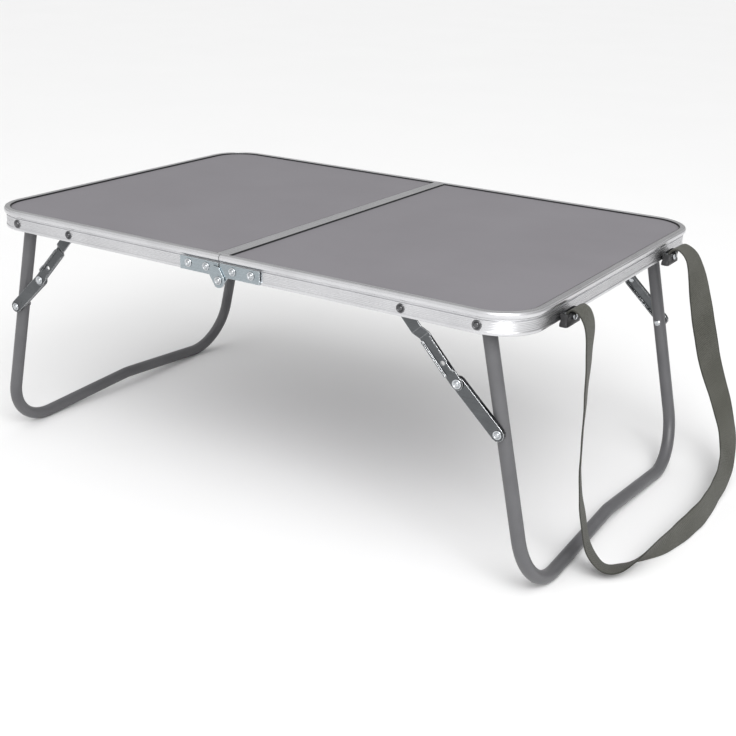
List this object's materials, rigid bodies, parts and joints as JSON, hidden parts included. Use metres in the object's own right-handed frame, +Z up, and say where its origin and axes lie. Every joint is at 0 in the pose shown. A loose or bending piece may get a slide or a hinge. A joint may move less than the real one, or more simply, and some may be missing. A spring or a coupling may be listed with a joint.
{
  "type": "folding table",
  "caption": "Low folding camp table with a hinged two-leaf laminate top in an aluminium rim, bent-tube legs on folding braces and a webbing carry strap.",
  "frame": {"origin": "on the floor under the middle of the top, where the seam crosses the centre line", "axes": "+X along the top's length towards the end that carries the strap, -Y towards the front long side, +Z up"},
  "size_m": [0.706, 0.4073, 0.256],
  "materials": {
    "grey_laminate": "satin",
    "satin_aluminium": "satin",
    "zinc_plate": "zinc plated",
    "bright_rivet": "bright",
    "grey_powder_coat": "fine powder coat",
    "black_steel": "semi-matt",
    "grey_nylon": "matt",
    "olive_webbing": "woven"
  },
  "bodies": {
    "right_half": {"right_rim": "satin_aluminium", "right_panel": "grey_laminate", "right_seam_strip": "satin_aluminium", "right_front_seam_leaf": "zinc_plate", "right_front_seam_leaf_rivet_1": "bright_rivet", "right_front_seam_leaf_rivet_2": "bright_rivet", "right_front_leg_pivot": "bright_rivet", "right_front_leg_spacer": "grey_nylon", "right_front_brace_rim_rivet": "bright_rivet", "right_rear_seam_leaf": "zinc_plate", "right_rear_seam_leaf_rivet_1": "bright_rivet", "right_rear_seam_leaf_rivet_2": "bright_rivet", "right_rear_leg_pivot": "bright_rivet", "right_rear_leg_spacer": "grey_nylon", "right_rear_brace_rim_rivet": "bright_rivet", "front_seam_pin": "bright_rivet", "front_strap_bracket": "black_steel", "front_strap_screw": "bright_rivet", "rear_seam_pin": "bright_rivet", "rear_strap_bracket": "black_steel", "rear_strap_screw": "bright_rivet", "carry_strap": "olive_webbing"},
    "left_half": {"left_rim": "satin_aluminium", "left_panel": "grey_laminate", "left_seam_strip": "satin_aluminium", "left_front_seam_leaf": "zinc_plate", "left_front_seam_leaf_rivet_1": "bright_rivet", "left_front_seam_leaf_rivet_2": "bright_rivet", "left_front_leg_pivot": "bright_rivet", "left_front_leg_spacer": "grey_nylon", "left_front_brace_rim_rivet": "bright_rivet", "left_rear_seam_leaf": "zinc_plate", "left_rear_seam_leaf_rivet_1": "bright_rivet", "left_rear_seam_leaf_rivet_2": "bright_rivet", "left_rear_leg_pivot": "bright_rivet", "left_rear_leg_spacer": "grey_nylon", "left_rear_brace_rim_rivet": "bright_rivet"},
    "left_leg": {"left_leg_frame": "grey_powder_coat", "left_front_brace_leg_rivet_tail": "bright_rivet", "left_rear_brace_leg_rivet_tail": "bright_rivet"},
    "left_front_upper_brace": {"left_front_upper_link": "zinc_plate"},
    "left_front_lower_brace": {"left_front_lower_link": "zinc_plate", "left_front_elbow_rivet": "bright_rivet", "left_front_brace_leg_rivet": "bright_rivet"},
    "left_rear_upper_brace": {"left_rear_upper_link": "zinc_plate"},
    "left_rear_lower_brace": {"left_rear_lower_link": "zinc_plate", "left_rear_elbow_rivet": "bright_rivet", "left_rear_brace_leg_rivet": "bright_rivet"},
    "right_leg": {"right_leg_frame": "grey_powder_coat", "right_front_brace_leg_rivet_tail": "bright_rivet", "right_rear_brace_leg_rivet_tail": "bright_rivet"},
    "right_front_upper_brace": {"right_front_upper_link": "zinc_plate"},
    "right_front_lower_brace": {"right_front_lower_link": "zinc_plate", "right_front_elbow_rivet": "bright_rivet", "right_front_brace_leg_rivet": "bright_rivet"},
    "right_rear_upper_brace": {"right_rear_upper_link": "zinc_plate"},
    "right_rear_lower_brace": {"right_rear_lower_link": "zinc_plate", "right_rear_elbow_rivet": "bright_rivet", "right_rear_brace_leg_rivet": "bright_rivet"}
  },
  "joints": [
    {"name": "table_fold", "type": "hinge", "parent": "right_half", "child": "left_half", "pos_m": [0, 0, 0.2328], "axis": [0, -1, 0], "range_deg": [0, 95]},
    {"name": "left_leg_fold", "type": "hinge", "parent": "left_half", "child": "left_leg", "pos_m": [-0.2585, 0, 0.243], "axis": [0, -1, 0], "range_deg": [0, 102.5]},
    {"name": "left_front_upper_link_swing", "type": "hinge", "parent": "left_half", "child": "left_front_upper_brace", "pos_m": [-0.188, -0.19, 0.243], "axis": [0, -1, 0], "range_deg": [0, 132.8]},
    {"name": "left_front_lower_link_swing", "type": "hinge", "parent": "left_front_upper_brace", "child": "left_front_lower_brace", "pos_m": [-0.24013, -0.19, 0.18656], "axis": [0, 1, 0], "range_deg": [0, 175.5]},
    {"name": "left_rear_upper_link_swing", "type": "hinge", "parent": "left_half", "child": "left_rear_upper_brace", "pos_m": [-0.188, 0.19, 0.243], "axis": [0, -1, 0], "range_deg": [0, 132.8]},
    {"name": "left_rear_lower_link_swing", "type": "hinge", "parent": "left_rear_upper_brace", "child": "left_rear_lower_brace", "pos_m": [-0.24013, 0.19, 0.18656], "axis": [0, 1, 0], "range_deg": [0, 175.5]},
    {"name": "right_leg_fold", "type": "hinge", "parent": "right_half", "child": "right_leg", "pos_m": [0.2585, 0, 0.243], "axis": [0, 1, 0], "range_deg": [0, 102.5]},
    {"name": "right_front_upper_link_swing", "type": "hinge", "parent": "right_half", "child": "right_front_upper_brace", "pos_m": [0.188, -0.19, 0.243], "axis": [0, 1, 0], "range_deg": [0, 132.8]},
    {"name": "right_front_lower_link_swing", "type": "hinge", "parent": "right_front_upper_brace", "child": "right_front_lower_brace", "pos_m": [0.24013, -0.19, 0.18656], "axis": [0, -1, 0], "range_deg": [0, 175.5]},
    {"name": "right_rear_upper_link_swing", "type": "hinge", "parent": "right_half", "child": "right_rear_upper_brace", "pos_m": [0.188, 0.19, 0.243], "axis": [0, 1, 0], "range_deg": [0, 132.8]},
    {"name": "right_rear_lower_link_swing", "type": "hinge", "parent": "right_rear_upper_brace", "child": "right_rear_lower_brace", "pos_m": [0.24013, 0.19, 0.18656], "axis": [0, -1, 0], "range_deg": [0, 175.5]}
  ],
  "couplings": [
    {"joint": "left_front_upper_link_swing", "follows": "left_leg_fold", "ratio": 1.2949},
    {"joint": "left_front_lower_link_swing", "follows": "left_leg_fold", "ratio": 1.7114},
    {"joint": "left_rear_upper_link_swing", "follows": "left_leg_fold", "ratio": 1.2949},
    {"joint": "left_rear_lower_link_swing", "follows": "left_leg_fold", "ratio": 1.7114},
    {"joint": "right_front_upper_link_swing", "follows": "right_leg_fold", "ratio": 1.2949},
    {"joint": "right_front_lower_link_swing", "follows": "right_leg_fold", "ratio": 1.7114},
    {"joint": "right_rear_upper_link_swing", "follows": "right_leg_fold", "ratio": 1.2949},
    {"joint": "right_rear_lower_link_swing", "follows": "right_leg_fold", "ratio": 1.7114}
  ]
}
